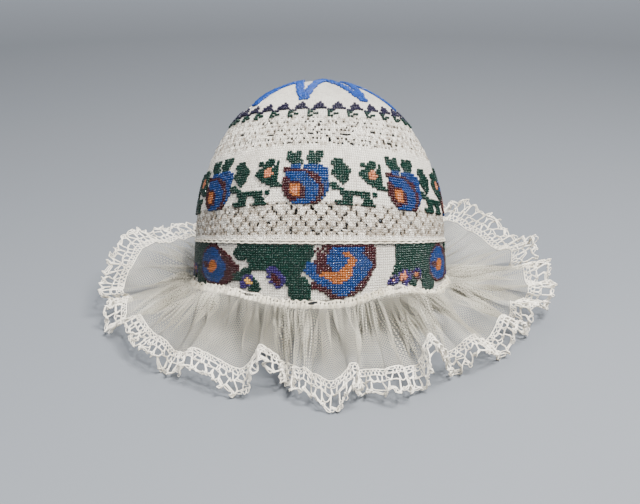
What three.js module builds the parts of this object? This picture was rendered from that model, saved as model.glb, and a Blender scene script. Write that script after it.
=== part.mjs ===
import * as THREE from "three";

// A small child's knitted and beaded cap with a gathered net frill, lying as it does on a table.
// Sizes are millimetres and angles are degrees. The front of the cap faces -Y and the table is z = 0.
// A turn is an angle round the cap: 0 is the front, 90 is the cap's left side at +X, 180 is the back.

// Knitted crown
const crownRadius = 62;
const crownHeight = 80;
const crownBend = 7;
const crownFullness = 0.96;
const knitWall = 2;
const ridgeHeight = 2.4;
const ridgeOut = 0.9;

// Beaded band, from the seam under the crown down to the rim
const bandHeight = 19;
const seamTilt = 5;
const seamOverhang = 0.6;
const bandFlare = 1.1;
const rimRadius = crownRadius - seamOverhang + bandFlare;

// Gathered heading under the rim
const headingWall = 1.5;
const headingSide = 4;
const headingFrontExtra = 0.5;
const headingBackLess = 2;
const headingFlare = 0.45;
const headingStart = 1;
const gatherDepth = 0.5;

// Frill and lace
const clothWall = 1;
const netWidth = 43;
const laceWidth = 15;
const laceFooting = 0.24;
const laceBorder = 0.2;

// How the cap lies, and the gap that stands for each line of sewing
const leanBack = 13;
const rimClearance = 0.4;
const sewingGap = 0.3;

// Mesh fineness
const roundFacets = 48;
const crownRows = 12;
const liningRows = 8;
const netRows = 5;

// One row for each crest or valley of the frill, going round from the back left.
// turn: where the fold leaves the heading. edge: where its lace edge lies.
// reach: straight way from heading to lace edge, as a share of net and lace together. The rest is in the fold.
// lift: height of the lace edge over the table, as a share of the same width.
const frillFolds = [
  { turn: -118, edge: -111, reach: 0.91, lift: 0.5 },
  { turn: -106, edge: -98, reach: 0.84, lift: 0.35 },
  { turn: -97, edge: -86, reach: 0.81, lift: 0.22 },
  { turn: -90, edge: -87, reach: 0.71, lift: 0.11 },
  { turn: -83, edge: -81, reach: 0.74, lift: 0.17 },
  { turn: -74, edge: -75, reach: 0.82, lift: 0 },
  { turn: -66, edge: -68, reach: 0.66, lift: 0.19 },
  { turn: -57, edge: -51, reach: 0.71, lift: 0.14 },
  { turn: -49, edge: -43, reach: 0.73, lift: 0 },
  { turn: -41, edge: -35, reach: 0.68, lift: 0.15 },
  { turn: -30, edge: -21, reach: 0.77, lift: 0 },
  { turn: -21, edge: -15, reach: 0.6, lift: 0.34 },
  { turn: -13, edge: -10, reach: 0.59, lift: 0 },
  { turn: -5, edge: -5, reach: 0.73, lift: 0.09 },
  { turn: 3, edge: 3, reach: 0.89, lift: 0 },
  { turn: 9, edge: 8, reach: 0.78, lift: 0.19 },
  { turn: 15, edge: 11, reach: 0.72, lift: 0 },
  { turn: 21, edge: 18, reach: 0.82, lift: 0.11 },
  { turn: 28, edge: 28, reach: 0.76, lift: 0 },
  { turn: 35, edge: 30, reach: 0.65, lift: 0.37 },
  { turn: 41, edge: 40, reach: 0.68, lift: 0 },
  { turn: 47, edge: 47, reach: 0.68, lift: 0.17 },
  { turn: 54, edge: 58, reach: 0.75, lift: 0 },
  { turn: 61, edge: 64, reach: 0.7, lift: 0.22 },
  { turn: 68, edge: 75, reach: 0.78, lift: 0 },
  { turn: 74, edge: 75, reach: 0.71, lift: 0.26 },
  { turn: 81, edge: 87, reach: 0.91, lift: 0.12 },
  { turn: 88, edge: 88, reach: 0.93, lift: 0.3 },
  { turn: 94, edge: 93, reach: 0.94, lift: 0.24 },
  { turn: 100, edge: 96, reach: 0.96, lift: 0.39 },
  { turn: 106, edge: 103, reach: 0.88, lift: 0.28 },
  { turn: 113, edge: 102, reach: 0.99, lift: 0.55 },
  { turn: 120, edge: 111, reach: 0.92, lift: 0.43 },
  { turn: 128, edge: 121, reach: 0.93, lift: 0.58 },
  { turn: 137, edge: 129, reach: 0.95, lift: 0.67 },
  { turn: 147, edge: 141, reach: 0.91, lift: 0.52 },
  { turn: 160, edge: 157, reach: 0.91, lift: 0 },
  { turn: 172, edge: 170, reach: 0.91, lift: 0.24 },
  { turn: 184, edge: 184, reach: 0.91, lift: 0 },
  { turn: 196, edge: 196, reach: 0.91, lift: 0.24 },
  { turn: 207, edge: 207, reach: 0.91, lift: 0 },
  { turn: 220, edge: 220, reach: 0.89, lift: 0.32 },
  { turn: 232, edge: 234, reach: 0.88, lift: 0.39 },
];

// Where the columns of the sheet stand between two rows of the table: a narrow bar, a wide opening, and again
const columnShares = [0, 0.12, 0.5, 0.62];

function radians(angle) {
  return (angle * Math.PI) / 180;
}

// A point of a ring: turn round the axis, distance from it and height on it
function onRing(turn, radius, height) {
  const angle = radians(turn);
  return new THREE.Vector3(radius * Math.sin(angle), -radius * Math.cos(angle), height);
}

// The cap's middle line bends back evenly. This carries a point of a straight cap to the bent one.
function bendBack(point, length, totalBend) {
  const perLength = radians(totalBend) / length;
  const height = THREE.MathUtils.clamp(point.z, 0, length);
  const angle = perLength * height;
  const beyond = point.z - height;
  const middleY = perLength === 0 ? 0 : (1 - Math.cos(angle)) / perLength;
  const middleZ = perLength === 0 ? height : Math.sin(angle) / perLength;
  return new THREE.Vector3(
    point.x,
    middleY + point.y * Math.cos(angle) + beyond * Math.sin(angle),
    middleZ - point.y * Math.sin(angle) + beyond * Math.cos(angle),
  );
}

// A solid swept round the cap. Each section lists the same number of points, and the last section joins the
// first. A closed section is a loop; an open one starts and ends on points that all sections share.
// skipsPatch leaves a patch of the skin out, and extraPatches adds others.
function roundSolid(sections, sectionIsLoop, skipsPatch = () => false, extraPatches = []) {
  const corners = [];
  const rows = sections[0].length;
  const lastRow = sectionIsLoop ? rows : rows - 1;
  const addTriangle = (a, b, c) => {
    if (a.distanceTo(b) > 1e-6 && b.distanceTo(c) > 1e-6 && c.distanceTo(a) > 1e-6) {
      corners.push(...a.toArray(), ...b.toArray(), ...c.toArray());
    }
  };
  const addPatch = (a, b, c, d) => {
    addTriangle(a, b, c);
    addTriangle(a, c, d);
  };
  for (let column = 0; column < sections.length; column += 1) {
    const here = sections[column];
    const next = sections[(column + 1) % sections.length];
    for (let row = 0; row < lastRow; row += 1) {
      const below = (row + 1) % rows;
      if (!skipsPatch(column, row)) {
        addPatch(here[row], here[below], next[below], next[row]);
      }
    }
  }
  for (const patch of extraPatches) {
    addPatch(...patch);
  }
  const geometry = new THREE.BufferGeometry();
  geometry.setAttribute("position", new THREE.Float32BufferAttribute(corners, 3));
  geometry.computeVertexNormals();
  return geometry;
}

// Turns of the flat facets: the first facet looks straight to the front
function facetTurns() {
  const step = 360 / roundFacets;
  return Array.from({ length: roundFacets }, (_, index) => (index + 0.5) * step);
}

// Crown: outer skin from the top down, the rounded ridge, and the lining back up to the top
function crownSection(turn) {
  const halfRidge = ridgeHeight / 2;
  const points = [];
  const domePoint = (share, radius, height) => {
    const angle = (Math.PI / 2) * (1 - share);
    const across = radius * Math.max(0, Math.cos(angle)) ** crownFullness;
    const up = height * Math.max(0, Math.sin(angle)) ** crownFullness;
    return onRing(turn, share === 0 ? 0 : across, up);
  };
  const ridgeAngle = (Math.asin(halfRidge / crownHeight) * 2) / Math.PI;
  for (let row = 0; row <= crownRows; row += 1) {
    points.push(domePoint((row / crownRows) * (1 - ridgeAngle), crownRadius, crownHeight));
  }
  for (const angle of [45, 0, -45]) {
    const out = crownRadius + ridgeOut * Math.cos(radians(angle));
    points.push(onRing(turn, out, halfRidge * Math.sin(radians(angle))));
  }
  points.push(onRing(turn, crownRadius - 0.3, -halfRidge));
  points.push(onRing(turn, crownRadius - knitWall, -halfRidge));
  for (let row = liningRows; row >= 0; row -= 1) {
    points.push(domePoint(row / liningRows, crownRadius - knitWall, crownHeight - knitWall));
  }
  return points.map((point) => bendBack(point, crownHeight, crownBend));
}

function crownMesh() {
  const geometry = roundSolid(facetTurns().map(crownSection), false);
  const material = new THREE.MeshStandardMaterial({ color: 0xe6dfd3, roughness: 0.92, metalness: 0 });
  const mesh = new THREE.Mesh(geometry, material);
  mesh.name = "crown";
  return mesh;
}

// Band: an upright strip whose upper edge stays clear under the crown's tilted seam
function bandSection(turn) {
  const topRadius = crownRadius - seamOverhang;
  const seamPlane = (radius) => {
    const flat = onRing(turn, radius, -ridgeHeight / 2 - sewingGap);
    flat.applyAxisAngle(new THREE.Vector3(1, 0, 0), -radians(seamTilt));
    return flat.add(seamCentre());
  };
  return [
    seamPlane(topRadius),
    onRing(turn, rimRadius, 0),
    onRing(turn, rimRadius - knitWall, 0),
    seamPlane(topRadius - knitWall),
  ];
}

function seamCentre() {
  return bendBack(new THREE.Vector3(0, 0, bandHeight), bandHeight, seamTilt);
}

function bandMesh() {
  const geometry = roundSolid(facetTurns().map(bandSection), true);
  const material = new THREE.MeshStandardMaterial({ color: 0x3f5f86, roughness: 0.35, metalness: 0 });
  const mesh = new THREE.Mesh(geometry, material);
  mesh.name = "bead_band";
  return mesh;
}

// Heading: deeper at the front, where the band stands clear of the table, and shallow at the back
function headingDepth(turn) {
  const toFront = Math.cos(radians(turn));
  const front = headingFrontExtra * Math.max(0, toFront) ** 2;
  const back = headingBackLess * Math.max(0, -toFront);
  return headingSide + front - back;
}

function headingRadius(turn) {
  return rimRadius + headingStart + headingFlare * headingDepth(turn);
}

function headingSection(turn, index) {
  const depth = headingDepth(turn);
  const gather = gatherDepth * (index % 2 === 0 ? 1 : -1);
  const low = headingRadius(turn) + gather;
  const half = headingWall / 2;
  return [
    onRing(turn, rimRadius, -sewingGap),
    onRing(turn, low + half, half - depth),
    onRing(turn, low - half, -depth),
    onRing(turn, rimRadius - headingWall, -sewingGap),
  ];
}

function headingMesh() {
  const geometry = roundSolid(frillColumns().map((fold, index) => headingSection(fold.turn, index)), true);
  const material = new THREE.MeshStandardMaterial({ color: 0xeee8dc, roughness: 0.95, metalness: 0 });
  const mesh = new THREE.Mesh(geometry, material);
  mesh.name = "frill_heading";
  return mesh;
}

// The rim's centre stands so high that the frill's root just clears the table at the back
function rimHeight() {
  const lean = radians(leanBack);
  const rootUnderside = headingDepth(180) + sewingGap + clothWall;
  return headingRadius(180) * Math.sin(lean) + rootUnderside * Math.cos(lean) + rimClearance;
}

// Values between the rows of the fold table: turns run smoothly, reach and lift ease from row to row
function frillColumns() {
  const count = frillFolds.length;
  const rowAt = (index) => {
    const row = frillFolds[((index % count) + count) % count];
    const laps = Math.floor(index / count) * 360;
    return { turn: row.turn + laps, edge: row.edge + laps, reach: row.reach, lift: row.lift };
  };
  const smooth = (a, b, c, d, share) =>
    0.5 *
    (2 * b +
      (c - a) * share +
      (2 * a - 5 * b + 4 * c - d) * share ** 2 +
      (3 * b - a - 3 * c + d) * share ** 3);
  const columns = [];
  for (let index = 0; index < count; index += 1) {
    const rows = [rowAt(index - 1), rowAt(index), rowAt(index + 1), rowAt(index + 2)];
    for (const share of columnShares) {
      const eased = (1 - Math.cos(Math.PI * share)) / 2;
      columns.push({
        turn: smooth(...rows.map((row) => row.turn), share),
        edge: smooth(...rows.map((row) => row.edge), share),
        reach: THREE.MathUtils.lerp(rows[1].reach, rows[2].reach, eased),
        lift: THREE.MathUtils.lerp(rows[1].lift, rows[2].lift, eased),
      });
    }
  }
  return columns;
}

// The middle of the cloth along one column, from the heading (0) to the lace's outer edge (1)
function frillPath(fold) {
  const width = netWidth + laceWidth;
  const rootDepth = headingDepth(fold.turn) + sewingGap + clothWall / 2;
  const root = onRing(fold.turn, headingRadius(fold.turn), -rootDepth);
  root.applyAxisAngle(new THREE.Vector3(1, 0, 0), -radians(leanBack));
  root.z += rimHeight();
  const edgeHeight = fold.lift * width + clothWall / 2;
  const drop = root.z - edgeHeight;
  const plan = Math.sqrt(Math.max(0, (fold.reach * width) ** 2 - drop ** 2));
  const edge = onRing(fold.edge, Math.hypot(root.x, root.y) + plan, edgeHeight);
  const outward = onRing((fold.turn + fold.edge) / 2, 0.04 * width, 0);
  const middle = root.clone().lerp(edge, 0.42).add(outward);
  middle.z = THREE.MathUtils.lerp(root.z, edgeHeight, 0.3);
  return new THREE.QuadraticBezierCurve3(root, middle, edge);
}

// A sheet of cloth between two shares of the path, as thick as the cloth. Openings are cut through it.
function clothSheet(from, to, rowShares, isOpening = () => false) {
  const paths = frillColumns().map(frillPath);
  const middles = paths.map((path) => rowShares.map((share) => path.getPoint(from + (to - from) * share)));
  const count = middles.length;
  const last = rowShares.length - 1;
  const faces = middles.map((column, index) => {
    const left = middles[(index + count - 1) % count];
    const right = middles[(index + 1) % count];
    return column.map((point, row) => {
      const along = column[Math.min(row + 1, last)].clone().sub(column[Math.max(row - 1, 0)]);
      const across = right[row].clone().sub(left[row]);
      const outOfCloth = across.cross(along).normalize().multiplyScalar(-clothWall / 2);
      return { upper: point.clone().add(outOfCloth), lower: point.clone().sub(outOfCloth) };
    });
  });
  const sections = faces.map((column) => [
    ...column.map((face) => face.upper),
    ...column.map((face) => face.lower).reverse(),
  ]);
  const rowOf = (row) => (row < last ? row : 2 * last - row);
  const isSkin = (row) => row !== last && row !== 2 * last + 1;
  const skipsPatch = (column, row) => isSkin(row) && isOpening(column, rowOf(row));
  const sides = [];
  for (let column = 0; column < count; column += 1) {
    for (let row = 0; row < last; row += 1) {
      if (isOpening(column, row)) {
        const here = faces[column];
        const next = faces[(column + 1) % count];
        const rim = [here[row], here[row + 1], next[row + 1], next[row]];
        rim.forEach((corner, index) => {
          const after = rim[(index + 1) % 4];
          sides.push([corner.upper, after.upper, after.lower, corner.lower]);
        });
      }
    }
  }
  return roundSolid(sections, true, skipsPatch, sides);
}

function netMesh() {
  const share = netWidth / (netWidth + laceWidth);
  const rowShares = Array.from({ length: netRows + 1 }, (_, row) => row / netRows);
  const geometry = clothSheet(0, share, rowShares);
  const material = new THREE.MeshStandardMaterial({ color: 0xb9bcbd, roughness: 0.9, metalness: 0 });
  const mesh = new THREE.Mesh(geometry, material);
  mesh.name = "net_frill";
  return mesh;
}

// Lace: a footing strip, a row of openings between narrow bars, and an outer border
function laceMesh() {
  const width = netWidth + laceWidth;
  const share = (netWidth + sewingGap) / width;
  const geometry = clothSheet(
    share,
    1,
    [0, laceFooting, 1 - laceBorder, 1],
    (column, row) => row === 1 && column % 2 === 1,
  );
  const material = new THREE.MeshStandardMaterial({ color: 0xe2dacb, roughness: 0.95, metalness: 0 });
  const mesh = new THREE.Mesh(geometry, material);
  mesh.name = "lace_edging";
  return mesh;
}

// Assembly: crown on the band, both leaning back, and the frill spread on the table
function childsCap() {
  const crown = crownMesh();
  crown.rotation.x = -radians(seamTilt);
  crown.position.copy(seamCentre());

  const leaning = new THREE.Group();
  leaning.rotation.x = -radians(leanBack);
  leaning.position.z = rimHeight();
  leaning.add(crown, bandMesh(), headingMesh());

  const cap = new THREE.Group();
  cap.add(leaning, netMesh(), laceMesh());
  const extent = new THREE.Box3().setFromObject(cap, true);
  const centre = extent.getCenter(new THREE.Vector3());
  cap.position.set(-centre.x, -centre.y, -extent.min.z);
  return cap;
}

const group = new THREE.Group();
group.add(childsCap());

export default group;
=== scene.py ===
import math

import bpy
import numpy as np
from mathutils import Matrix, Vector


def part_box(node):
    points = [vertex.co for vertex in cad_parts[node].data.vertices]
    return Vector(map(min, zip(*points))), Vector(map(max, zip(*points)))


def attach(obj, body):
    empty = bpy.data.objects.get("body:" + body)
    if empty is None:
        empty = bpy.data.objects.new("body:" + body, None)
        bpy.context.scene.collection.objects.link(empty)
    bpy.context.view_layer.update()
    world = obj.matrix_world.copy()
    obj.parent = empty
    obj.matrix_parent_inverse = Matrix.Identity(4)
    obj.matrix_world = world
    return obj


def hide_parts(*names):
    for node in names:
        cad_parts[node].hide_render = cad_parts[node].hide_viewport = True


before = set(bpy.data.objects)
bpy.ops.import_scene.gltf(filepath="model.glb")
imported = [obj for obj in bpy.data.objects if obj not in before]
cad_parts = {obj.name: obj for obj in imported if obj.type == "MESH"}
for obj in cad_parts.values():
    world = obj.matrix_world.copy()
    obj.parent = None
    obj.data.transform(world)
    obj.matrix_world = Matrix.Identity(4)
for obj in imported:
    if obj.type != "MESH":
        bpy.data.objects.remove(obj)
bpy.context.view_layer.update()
bpy.ops.object.select_all(action="DESELECT")

# Camera, table and light
# The cap lies on a pale table with its front to the camera, which looks down on it a little. A broad window
# of soft light stands high at the right, a small lamp glints on the beads, and a wash lights the far table,
# which is also painted paler there as painted light, where less of the lamps' light falls.
LEAN = math.radians(13)
RIM_RADIUS = 0.0625
# the CAD band has 48 flat facets, and its front is the middle of one
HALF_FACET = math.radians(3.75)
band_low, band_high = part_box("bead_band")
rim_reach = RIM_RADIUS * math.cos(HALF_FACET)
rim_centre = np.array(
    [
        (band_low[0] + band_high[0]) / 2,
        band_low[1] + rim_reach * math.cos(LEAN),
        band_low[2] + rim_reach * math.sin(LEAN),
    ]
)

CAMERA_RISE = math.radians(20.5)
CAMERA_DISTANCE = 0.56
CAMERA_LENS = 63
AIM_ABOVE_RIM = 0.015
camera_place = (
    rim_centre[0],
    rim_centre[1] - CAMERA_DISTANCE * math.cos(CAMERA_RISE),
    rim_centre[2] + AIM_ABOVE_RIM + CAMERA_DISTANCE * math.sin(CAMERA_RISE),
)
bpy.ops.object.camera_add(location=camera_place, rotation=(math.pi / 2 - CAMERA_RISE, 0, 0))
camera = bpy.context.object
camera.data.lens = CAMERA_LENS
bpy.context.scene.camera = camera


def add_soft_light(name, place, turn, size, watts, colour):
    bpy.ops.object.light_add(type="AREA", location=place, rotation=[math.radians(a) for a in turn])
    light = bpy.context.object
    light.name = name
    light.data.shape = "DISK"
    light.data.size = size
    light.data.energy = watts
    light.data.color = colour


add_soft_light("window", (0.34, -0.25, 0.86), (27, 0, 54), size=0.4, watts=39, colour=(1.0, 0.98, 0.94))
add_soft_light("fill", (-0.6, -0.35, 0.5), (50, 0, -60), size=0.7, watts=6, colour=(0.95, 0.97, 1.0))
add_soft_light("back_wash", (0, 2.0, 1.7), (12, 0, 0), size=2.0, watts=45, colour=(0.97, 0.98, 1.0))
add_soft_light("lamp", (0.12, -0.55, 0.62), (45, 0, 12), size=0.04, watts=9, colour=(1.0, 0.97, 0.92))

ROOM_COLOUR = (0.86, 0.92, 1.0, 1)
ROOM_LIGHT = 0.34
world = bpy.data.worlds.new("soft_room")
world.use_nodes = True
world.node_tree.nodes["Background"].inputs["Color"].default_value = ROOM_COLOUR
world.node_tree.nodes["Background"].inputs["Strength"].default_value = ROOM_LIGHT
bpy.context.scene.world = world


class Finish:
    """The finish of one piece: a new material, and short calls that add its nodes.

    A node's values come in pairs: a socket, and what is set in it or linked to it.
    """

    def __init__(self, name):
        self.material = bpy.data.materials.new(name)
        self.material.use_nodes = True
        self.tree = self.material.node_tree
        self.place = self.add("ShaderNodeTexCoord").outputs["Object"]

    def fill(self, node, values):
        for socket, value in values:
            if isinstance(value, bpy.types.NodeSocket):
                self.tree.links.new(value, node.inputs[socket])
            else:
                node.inputs[socket].default_value = value

    def add(self, kind, values=(), **settings):
        node = self.tree.nodes.new(kind)
        for key, value in settings.items():
            setattr(node, key, value)
        self.fill(node, values)
        return node

    def calc(self, operation, *values):
        return self.add("ShaderNodeMath", enumerate(values), operation=operation).outputs[0]

    def noise(self, scale, detail):
        return self.add("ShaderNodeTexNoise", [(0, self.place), (2, scale), (3, detail)]).outputs[0]

    def uv(self):
        both = self.add("ShaderNodeSeparateXYZ", [(0, self.add("ShaderNodeUVMap").outputs[0])])
        return both.outputs[0], both.outputs[1]

    def blend(self, value, low, shade, high, light):
        ramp = self.add("ShaderNodeValToRGB", [(0, value)])
        for element, position, colour in zip(ramp.color_ramp.elements, (low, high), (shade, light)):
            element.position = position
            element.color = (*colour, 1)
        return ramp.outputs[0]

    def relief(self, height, strength, depth):
        values = [("Strength", strength), ("Distance", depth), ("Height", height)]
        return self.add("ShaderNodeBump", values).outputs[0]

    def shader(self, *values):
        self.fill(self.tree.nodes["Principled BSDF"], values)


TABLE_SIZE = 6
TABLE_NEAR = (0.100, 0.110, 0.126)
# painted light: the far colour is paler, where less of the lamps' light reaches the table
TABLE_FAR = (0.50, 0.54, 0.60)
# where the colour changes, as shares of the way from the table's middle to its edge
TABLE_NEAR_END = 0.28
TABLE_FAR_START = 0.95
bpy.ops.mesh.primitive_plane_add(size=TABLE_SIZE)
table = bpy.context.object
table.name = "table"
table_finish = Finish("pale_table")
table_length = table_finish.add("ShaderNodeVectorMath", [(0, table_finish.place)], operation="LENGTH")
table_reach = table_finish.calc("MULTIPLY", table_length.outputs["Value"], 2 / TABLE_SIZE)
table_colour = table_finish.blend(table_reach, TABLE_NEAR_END, TABLE_NEAR, TABLE_FAR_START, TABLE_FAR)
table_finish.shader(("Base Color", table_colour), ("Roughness", 0.8))
table.data.materials.append(table_finish.material)

# Crown ground
# The crown is knitted in the round from white cotton, in one piece with its rows of small holes.
# It is an egg-shaped dome that sinks back a little, and it carries the star, zigzag and garland beads.
CROWN_RADIUS = 0.062
CROWN_HEIGHT = 0.080
CROWN_BEND = math.radians(7)
CROWN_FULLNESS = 0.96
BAND_HEIGHT = 0.019
SEAM_TILT = math.radians(5)
STITCHES = 336
CROWN_ROWS = 98
KNIT_THICKNESS = 0.0008
CROWN_START = 0.0016
PROFILE_POINTS = 600

rng = np.random.default_rng(1840)
slope = np.linspace(0, math.pi / 2, PROFILE_POINTS)
profile_radius = CROWN_RADIUS * np.cos(slope).clip(0) ** CROWN_FULLNESS
profile_height = CROWN_HEIGHT * np.sin(slope) ** CROWN_FULLNESS
profile_step = np.hypot(np.diff(profile_radius), np.diff(profile_height))
profile_climb = np.concatenate([[0], np.cumsum(profile_step)])
CROWN_CLIMB = profile_climb[-1]
row_climb = (CROWN_CLIMB - CROWN_START) / CROWN_ROWS


def ring_points(turn, radius, height):
    angle = np.radians(turn)
    return np.column_stack([radius * np.sin(angle), -radius * np.cos(angle), height])


def tip_back(points, angle):
    y = points[:, 1] * math.cos(angle) + points[:, 2] * math.sin(angle)
    z = points[:, 2] * math.cos(angle) - points[:, 1] * math.sin(angle)
    return np.column_stack([points[:, 0], y, z])


def bend_back(points, length, whole_bend):
    per_length = whole_bend / length
    height = points[:, 2].clip(0, length)
    beyond = points[:, 2] - height
    angle = per_length * height
    y = (1 - np.cos(angle)) / per_length + points[:, 1] * np.cos(angle) + beyond * np.sin(angle)
    z = np.sin(angle) / per_length - points[:, 1] * np.sin(angle) + beyond * np.cos(angle)
    return np.column_stack([points[:, 0], y, z])


seam_centre = bend_back(np.array([[0, 0, BAND_HEIGHT]]), BAND_HEIGHT, SEAM_TILT)

SIDE_SAG = 0.0048
SAG_MIDDLE = -8.0
SAG_SPREAD = 56
# climb in metres, and the share of the sag there
SAG_ROUNDS = ((0, 0), (0.016, 1), (0.042, 1), (0.060, 0))


def settled(turn, climb):
    """The middle rounds hang lower at the sides than in front, where the openwork is pulled tall."""
    from_front = (turn - SAG_MIDDLE + 180) % 360 - 180
    sag = SIDE_SAG * (1 - np.exp(-((from_front / SAG_SPREAD) ** 2)))
    return climb - sag * np.interp(climb, *zip(*SAG_ROUNDS))


def crown_place(turn, climb, out):
    """Points on the crown: turn in degrees, climb along the knitting from the seam, and out of it."""
    turn, climb, out = np.broadcast_arrays(turn, climb, out)
    climb = settled(turn, climb)
    radius = np.interp(climb, profile_climb, profile_radius)
    height = np.interp(climb, profile_climb, profile_height)
    step = 0.0004
    ahead = (climb + step).clip(0, CROWN_CLIMB)
    behind = (climb - step).clip(0, CROWN_CLIMB)
    run = np.interp(ahead, profile_climb, profile_radius) - np.interp(behind, profile_climb, profile_radius)
    rise = np.interp(ahead, profile_climb, profile_height) - np.interp(behind, profile_climb, profile_height)
    length = np.hypot(run, rise).clip(1e-9)
    points = ring_points(turn, radius + out * rise / length, height - out * run / length)
    points = bend_back(points, CROWN_HEIGHT, CROWN_BEND)
    points = tip_back(points, SEAM_TILT) + seam_centre
    return tip_back(points, LEAN) + rim_centre


def grid_piece(name, columns, rows, place, stitch_columns, stitch_rows):
    """A grid laid on the cap by place(turn, share), open at the back, its UV map counted in stitches."""
    bpy.ops.object.select_all(action="DESELECT")
    bpy.ops.mesh.primitive_grid_add(x_subdivisions=columns, y_subdivisions=rows, size=1, calc_uvs=True)
    piece = bpy.context.object
    piece.name = name
    mesh = piece.data
    flat = np.empty(len(mesh.vertices) * 3)
    mesh.vertices.foreach_get("co", flat)
    flat = flat.reshape(-1, 3) + 0.5
    uv_layer = mesh.uv_layers.active.data
    uv = np.empty(len(uv_layer) * 2)
    uv_layer.foreach_get("uv", uv)
    uv = uv.reshape(-1, 2) * (stitch_columns, stitch_rows)
    uv_layer.foreach_set("uv", uv.ravel())
    placed = place(flat[:, 0] * 360 - 180, flat[:, 1])
    mesh.vertices.foreach_set("co", placed.ravel())
    mesh.update()
    return piece


def cut_cells(piece, columns, rows, is_hole):
    """Deletes the grid cells (column, row) that is_hole picks."""
    mesh = piece.data
    count = len(mesh.polygons)
    uv = np.empty(len(mesh.loops) * 2)
    mesh.uv_layers.active.data.foreach_get("uv", uv)
    middle = uv.reshape(count, 4, 2).mean(axis=1)
    chosen = is_hole(np.floor(middle[:, 0]).astype(int), np.floor(middle[:, 1]).astype(int))
    bpy.ops.object.mode_set(mode="EDIT")
    bpy.ops.mesh.select_all(action="DESELECT")
    bpy.ops.mesh.select_mode(type="FACE")
    bpy.ops.object.mode_set(mode="OBJECT")
    mesh.polygons.foreach_set("select", chosen)
    bpy.ops.object.mode_set(mode="EDIT")
    bpy.ops.mesh.delete(type="FACE")
    bpy.ops.object.mode_set(mode="OBJECT")


MERGE_REACH = 0.00002


def close_and_thicken(piece, thickness):
    """Joins the seam at the back and gives the cloth its thickness, inwards."""
    bpy.ops.object.select_all(action="DESELECT")
    piece.select_set(True)
    bpy.context.view_layer.objects.active = piece
    bpy.ops.object.mode_set(mode="EDIT")
    bpy.ops.mesh.select_all(action="SELECT")
    bpy.ops.mesh.remove_doubles(threshold=MERGE_REACH)
    bpy.ops.object.mode_set(mode="OBJECT")
    solidify = piece.modifiers.new("thickness", "SOLIDIFY")
    solidify.thickness = thickness
    solidify.offset = -1
    bpy.ops.object.modifier_apply(modifier="thickness")
    bpy.ops.object.shade_smooth()


# painted light and painted shade of the knitting: shade between the stitches' legs and in the openwork
KNIT_LIGHT = (0.88, 0.84, 0.755)
KNIT_SHADE = (0.20, 0.155, 0.105)
KNIT_RELIEF = 0.0012
# how fine the unevenness, the stains and the fibres are
KNIT_WANDER = 420.0
KNIT_STAIN = 55.0
KNIT_FIBRE = 2600.0
TRELLIS_STITCHES = 8
# middle row, reach in rows, and how dark the painted trellis shade is
OPEN_ROUNDS = ((9.0, 6.3, 0.42), (44.5, 7.0, 0.0))


def knit_finish(name, open_rounds):
    """Stocking stitch on the UV map, one V of two rounded legs in each unit, with soft uneven staining.

    Painted shade lies between the legs. The rounds of openwork in open_rounds are darker, with painted
    shade in spots and along a trellis, where the holes look into the shaded inside of the cap.
    """
    finish = Finish(name)
    calc = finish.calc
    u, v = finish.uv()
    wander = finish.noise(KNIT_WANDER, 2.0)
    drift = calc("MULTIPLY_ADD", wander, 1.0, -0.5)
    across = calc("ABSOLUTE", calc("SUBTRACT", calc("FRACT", calc("ADD", u, drift)), 0.5))
    along = calc("FRACT", calc("SUBTRACT", calc("ADD", v, drift), calc("MULTIPLY", across, 1.2)))
    leg = calc("SINE", calc("MULTIPLY", along, math.pi))
    strand = calc("SINE", calc("MULTIPLY", across, 2 * math.pi))
    beside = calc("POWER", calc("MULTIPLY", across, 2.0), 3.0)
    rib = calc("MULTIPLY_ADD", strand, 0.35, calc("MULTIPLY_ADD", beside, -0.65, 0.65))
    stitch = calc("MULTIPLY", calc("MULTIPLY_ADD", leg, 0.6, 0.4), rib)
    worn = calc("MULTIPLY_ADD", wander, 0.5, calc("MULTIPLY", finish.noise(KNIT_STAIN, 5.0), 0.5))
    # painted shade between the legs, together with the stains
    shade_and_stain = calc("MULTIPLY", stitch, worn)
    slant = 2 * math.pi / TRELLIS_STITCHES
    one_way = calc("COSINE", calc("MULTIPLY_ADD", calc("ADD", u, v), slant, -1.5 * slant))
    other_way = calc("COSINE", calc("MULTIPLY_ADD", calc("SUBTRACT", u, v), slant, 0.5 * slant))
    trellis = calc("POWER", calc("MAXIMUM", calc("MAXIMUM", one_way, other_way), 0.0), 4.0)
    broken = calc("MULTIPLY_ADD", trellis, calc("MULTIPLY_ADD", wander, 2.4, -0.7), 0.16)
    # painted shade in the openwork: dark spots, and lines along the trellis where the holes look into the
    # cap
    painted_pit_shade = calc("MAXIMUM", calc("MULTIPLY_ADD", wander, -0.75, 0.42), 0.0)
    for middle, reach, trellis_shade in open_rounds:
        darker = calc("MULTIPLY_ADD", broken, trellis_shade, painted_pit_shade)
        shade_and_stain = calc("SUBTRACT", shade_and_stain, calc("MULTIPLY", calc("COMPARE", v, middle, reach), darker))
    height = calc("ADD", stitch, calc("MULTIPLY", finish.noise(KNIT_FIBRE, 2.0), 0.4))
    finish.shader(
        ("Base Color", finish.blend(shade_and_stain, 0.02, KNIT_SHADE, 0.42, KNIT_LIGHT)),
        ("Normal", finish.relief(height, 1.0, KNIT_RELIEF)),
        ("Roughness", 0.88),
        ("Sheen Weight", 0.15),
    )
    return finish.material


# first row and the row after the last
LOWER_HOLES = (3, 15)
UPPER_HOLES = (38, 51)
TRELLIS_MADE = 0.92
FERN_MADE = 0.88
HOLE_EXTRA = 0.96
HOLE_CLOSE = 0.24
hole_chance = rng.random((CROWN_ROWS + 2, STITCHES))


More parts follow.
